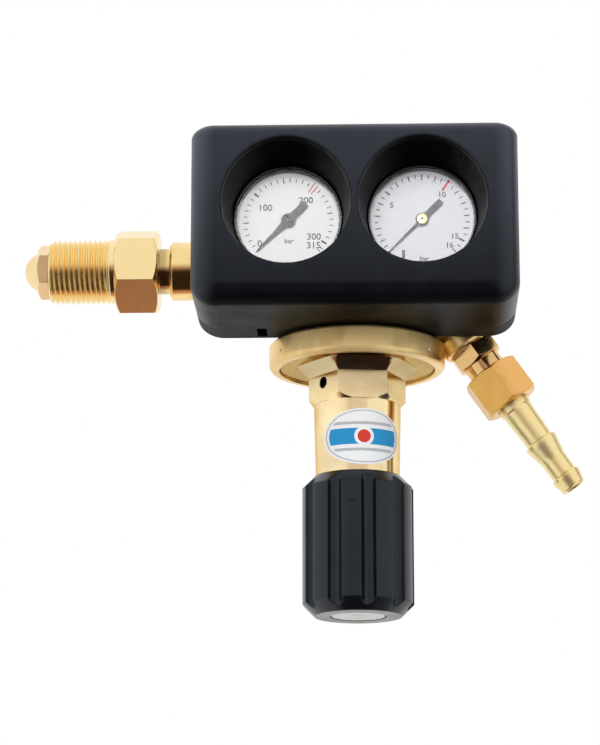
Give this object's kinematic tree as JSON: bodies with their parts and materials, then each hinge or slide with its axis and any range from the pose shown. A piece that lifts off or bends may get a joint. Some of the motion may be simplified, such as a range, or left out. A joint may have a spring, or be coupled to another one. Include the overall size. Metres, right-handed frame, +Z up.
{
  "type": "gas cylinder pressure regulator",
  "caption": "Gas cylinder pressure regulator with brass body, fluted hand knob, gauges in a black moulded housing, swivel inlet nut and barbed hose outlet.",
  "frame": {"origin": "on the inlet axis, where the full diameter of the inlet nut's thread begins", "axes": "-X out of the inlet thread, -Y to the front where the gauges face, +Z up along the bonnet axis with the knob below"},
  "size_m": [0.1975, 0.1029, 0.1607],
  "materials": {
    "brass_forged": "polished forging",
    "brass_turned": "turned",
    "brass_nut": "milled",
    "housing_black": "satin moulding",
    "cover_black": "satin moulding",
    "knob_black": "semi-gloss",
    "steel_plain": "zinc plated",
    "steel_spring": "oiled",
    "cap_silver": "satin",
    "case_dark": "black lacquer",
    "dial_white": "matt white",
    "pointer_dark": "satin",
    "window_clear": "clear",
    "seal_fibre": "matt",
    "rubber_black": "matt",
    "seat_nylon": "matt",
    "bronze_sintered": "sintered",
    "label_film": "printed film"
  },
  "bodies": {
    "root": {"body": "brass_forged", "bonnet": "brass_forged", "inlet_nipple": "brass_turned", "nipple_seal": "seal_fibre", "inlet_filter": "bronze_sintered", "valve_nozzle": "brass_turned", "nozzle_seal": "seal_fibre", "diaphragm": "rubber_black", "slip_ring": "brass_turned", "valve_spring": "steel_spring", "adjusting_spring": "steel_spring", "front_housing": "housing_black", "rear_cover": "cover_black", "cover_screws": "steel_spring", "high_case": "case_dark", "high_socket": "brass_turned", "high_seal": "seal_fibre", "high_tube": "bronze_sintered", "high_movement": "brass_turned", "high_dial": "dial_white", "high_window": "window_clear", "low_case": "case_dark", "low_socket": "brass_turned", "low_seal": "seal_fibre", "low_tube": "bronze_sintered", "low_movement": "brass_turned", "low_dial": "dial_white", "low_window": "window_clear", "outlet_adapter": "brass_turned", "outlet_seal": "seal_fibre", "outlet_nut": "brass_nut", "hose_tail": "brass_turned", "relief_body": "brass_turned", "relief_spring": "steel_spring", "relief_cap": "brass_turned"},
    "inlet_swivel": {"inlet_nut": "brass_turned"},
    "knob_unit": {"knob": "knob_black", "knob_cap": "cap_silver", "knob_nut": "steel_plain", "adjusting_screw": "steel_plain", "screw_retainer": "steel_spring"},
    "button": {"spring_button": "brass_turned"},
    "plate": {"diaphragm_plate": "steel_plain", "push_pin": "steel_plain"},
    "poppet": {"valve_poppet": "brass_turned", "poppet_seat": "seat_nylon"},
    "relief": {"relief_poppet": "steel_plain"},
    "high_needle": {"high_pointer": "pointer_dark"},
    "low_needle": {"low_pointer": "pointer_dark"},
    "high_quadrant": {"high_sector": "brass_turned"},
    "low_quadrant": {"low_sector": "brass_turned"}
  },
  "joints": [
    {"name": "inlet_nut_spin", "type": "hinge", "parent": "root", "child": "inlet_swivel", "pos_m": [0.02, 0, 0], "axis": [1, 0, 0], "continuous": true},
    {"name": "knob_turn", "type": "hinge", "parent": "root", "child": "knob_unit", "pos_m": [0.1084, 0, -0.1], "axis": [0, 0, 1], "range_deg": [0, 1440]},
    {"name": "button_rise", "type": "slide", "parent": "root", "child": "button", "axis": [0, 0, 1], "range_m": [0, 0.0061], "deforming": ["adjusting_spring"]},
    {"name": "plate_lift", "type": "slide", "parent": "root", "child": "plate", "axis": [0, 0, 1], "range_m": [0, 0.0008], "stiffness_N_per_m": 500, "springref_m": -0.001, "deforming": ["diaphragm"]},
    {"name": "valve_lift", "type": "slide", "parent": "root", "child": "poppet", "axis": [0, 0, 1], "range_m": [0, 0.00081], "deforming": ["valve_spring"]},
    {"name": "relief_lift", "type": "slide", "parent": "root", "child": "relief", "axis": [0, 1, 0], "range_m": [0, 0.001], "stiffness_N_per_m": 200, "springref_m": -0.001, "deforming": ["relief_spring"]},
    {"name": "high_pointer_turn", "type": "hinge", "parent": "root", "child": "high_needle", "pos_m": [0.0853, -0.038, 0.0074], "axis": [0, 1, 0], "range_deg": [0, 270], "stiffness_Nm_per_rad": 0.0001, "springref_deg": -28.65},
    {"name": "low_pointer_turn", "type": "hinge", "parent": "root", "child": "low_needle", "pos_m": [0.1315, -0.038, 0.0074], "axis": [0, 1, 0], "range_deg": [0, 270], "stiffness_Nm_per_rad": 0.0001, "springref_deg": -28.65},
    {"name": "high_sector_turn", "type": "hinge", "parent": "root", "child": "high_quadrant", "pos_m": [0.0853, -0.032, -0.0052], "axis": [0, 1, 0], "range_deg": [-45.5, 0.5]},
    {"name": "low_sector_turn", "type": "hinge", "parent": "root", "child": "low_quadrant", "pos_m": [0.1315, -0.032, -0.0052], "axis": [0, 1, 0], "range_deg": [-45.5, 0.5]}
  ],
  "couplings": [
    {"joint": "button_rise", "follows": "knob_turn", "m_per_rad": 0.00023873},
    {"joint": "valve_lift", "follows": "plate_lift", "ratio": 1},
    {"joint": "high_sector_turn", "follows": "high_pointer_turn", "ratio": -0.16667},
    {"joint": "low_sector_turn", "follows": "low_pointer_turn", "ratio": -0.16667}
  ]
}
